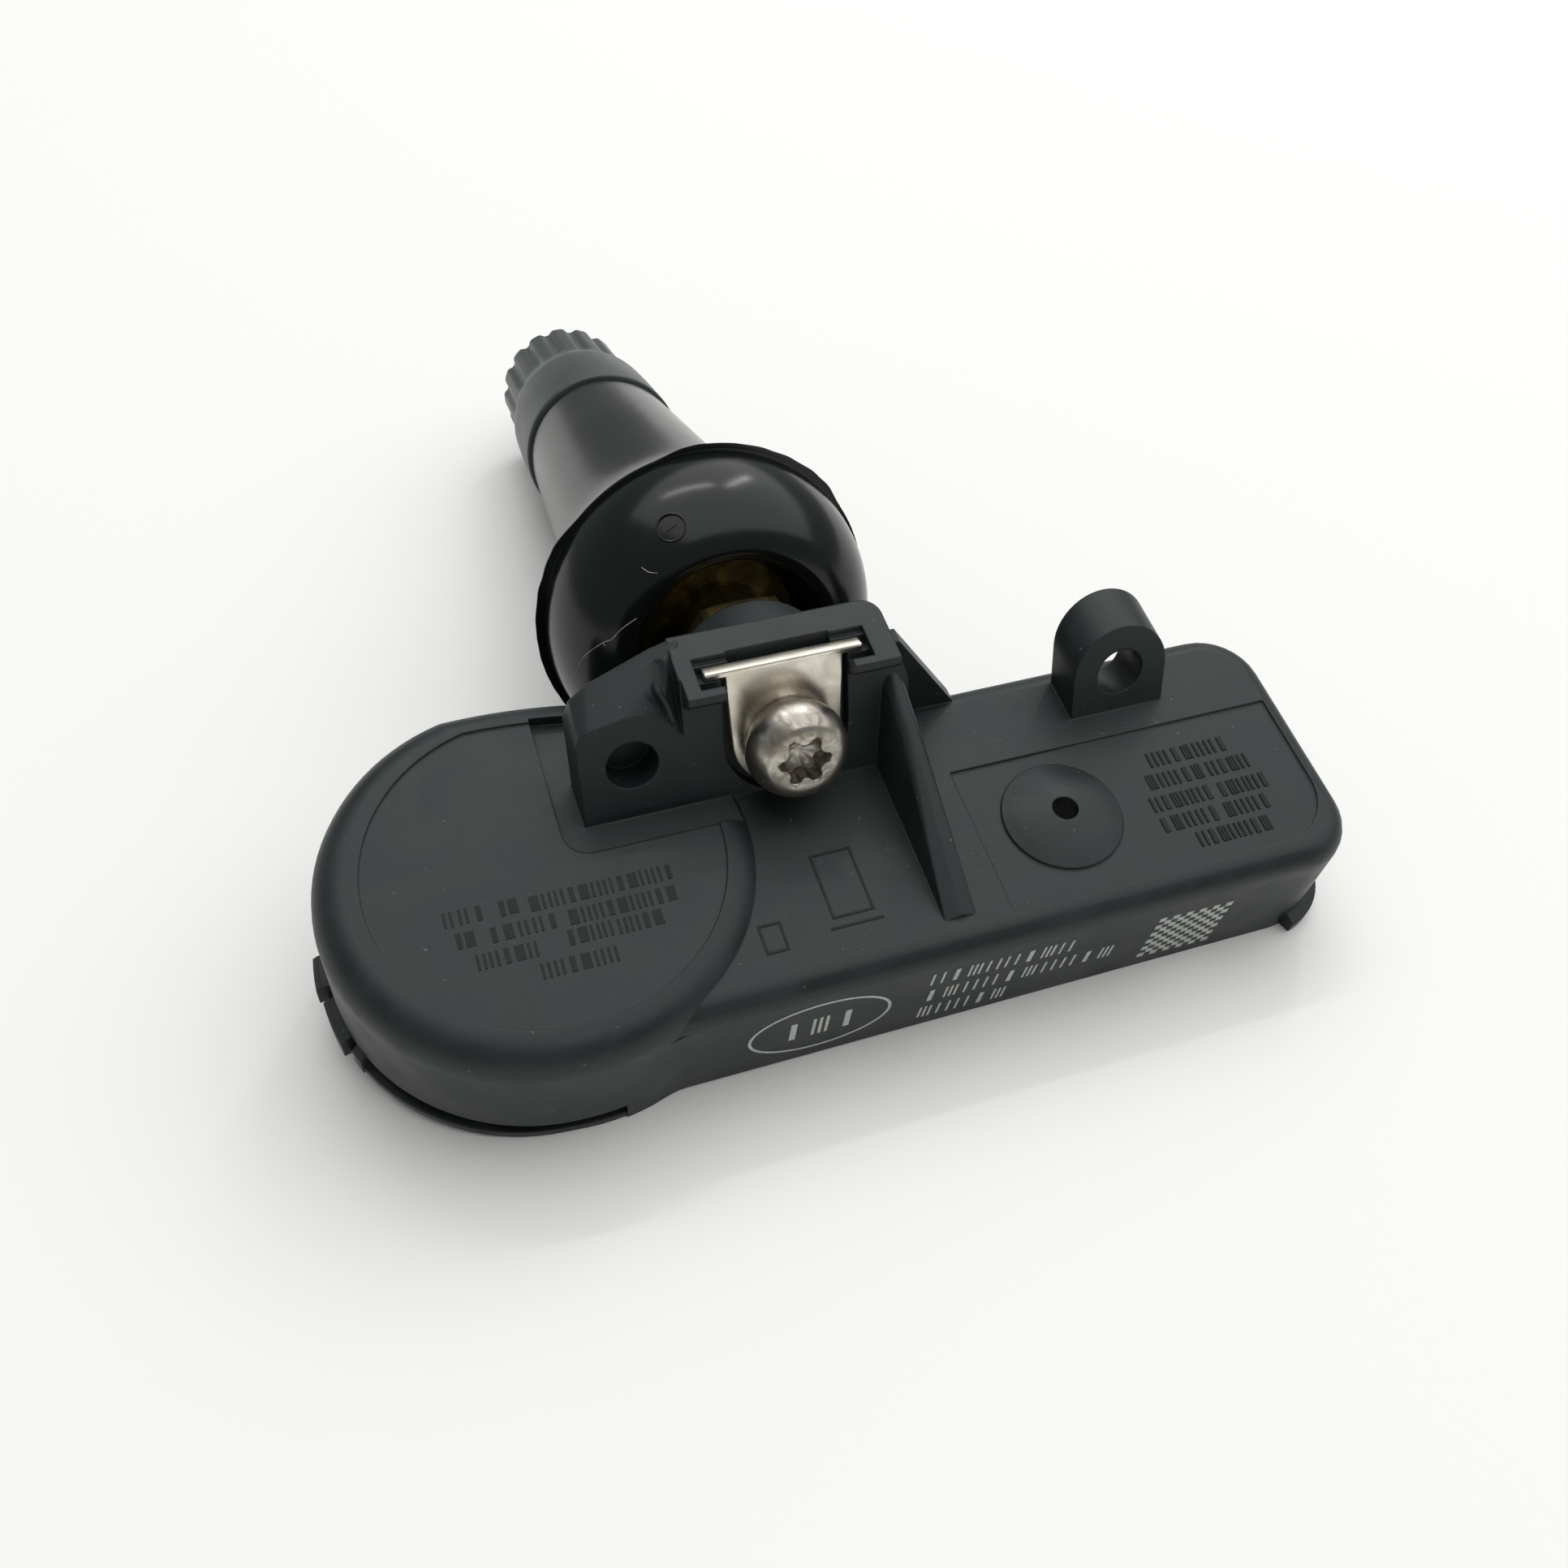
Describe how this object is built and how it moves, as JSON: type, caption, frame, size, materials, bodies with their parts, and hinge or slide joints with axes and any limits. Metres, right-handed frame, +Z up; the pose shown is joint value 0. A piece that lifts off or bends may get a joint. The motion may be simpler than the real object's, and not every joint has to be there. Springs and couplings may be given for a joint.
{
  "type": "tyre pressure sensor",
  "caption": "Tyre pressure sensor with a snap-in rubber valve, brass stem, screw and spring clip, and a fluted valve cap.",
  "frame": {"origin": "centre of the bounding box's footprint, on the surface that the sensor lies on", "axes": "+Y runs out along the valve, +X along the housing away from the battery end, +Z up; the sensor lies on its front edge and its cap"},
  "size_m": [0.0568, 0.0682, 0.0212],
  "materials": {
    "housing_nylon": "fine moulded grain",
    "cover_nylon": "fine moulded grain",
    "foam": "open foam",
    "cell_can": "nickel plated steel",
    "nickel_strip": "bare nickel strip",
    "board_laminate": "solder mask",
    "black_epoxy": "moulded epoxy",
    "gasket_rubber": "moulded silicone",
    "filter_membrane": "matt membrane",
    "crystal_can": "plated lid",
    "ceramic": "fired ceramic",
    "ferrite": "sintered",
    "copper_wire": "enamelled copper",
    "brass_wire": "drawn wire",
    "clip_nickel": "bright rolled",
    "screw_steel": "plated",
    "stem_brass": "turned, slightly dull",
    "valve_rubber": "moulded, satin",
    "core_brass": "turned",
    "core_gasket_rubber": "moulded",
    "spring_steel": "drawn wire",
    "core_rubber": "moulded",
    "cap_seal_rubber": "moulded",
    "cap_plastic": "fine moulded grain"
  },
  "bodies": {
    "sensor": {"housing": "housing_nylon", "base_cover": "cover_nylon", "cell_pad": "foam", "battery_cell": "cell_can", "battery_tab_top": "nickel_strip", "battery_tab_bottom": "nickel_strip", "circuit_board": "board_laminate", "pressure_sensor": "black_epoxy", "port_gasket": "gasket_rubber", "vent_filter": "filter_membrane", "transmitter_chip": "black_epoxy", "crystal": "crystal_can", "capacitors": "ceramic", "lf_coil_core": "ferrite", "lf_coil_winding": "copper_wire", "antenna": "brass_wire", "retaining_clip": "clip_nickel", "valve_screw": "screw_steel", "valve_stem": "stem_brass", "rubber_body": "valve_rubber", "core_plug": "core_brass", "core_gasket": "core_gasket_rubber", "core_barrel": "core_brass", "core_spring": "spring_steel"},
    "cap_thread": {"cap_seal": "cap_seal_rubber"},
    "cap": {"valve_cap": "cap_plastic"},
    "core": {"core_pin": "core_brass", "core_seal": "core_rubber"}
  },
  "joints": [
    {"name": "cap_travel", "type": "slide", "parent": "sensor", "child": "cap_thread", "axis": [-0.0007, 0.9871, -0.16], "range_m": [0, 0.00794]},
    {"name": "cap_turn", "type": "hinge", "parent": "cap_thread", "child": "cap", "pos_m": [-0.00199, 0.02519, 0.00608], "axis": [-0.0007, 0.9871, -0.16], "range_deg": [0, 3605]},
    {"name": "core_press", "type": "slide", "parent": "sensor", "child": "core", "axis": [0.0007, -0.9871, 0.16], "range_m": [0, 0.0015], "stiffness_N_per_m": 600, "springref_m": -0.003, "deforming": ["core_spring"]}
  ],
  "couplings": [
    {"joint": "cap_turn", "follows": "cap_travel", "rad_per_m": 7913.3}
  ]
}
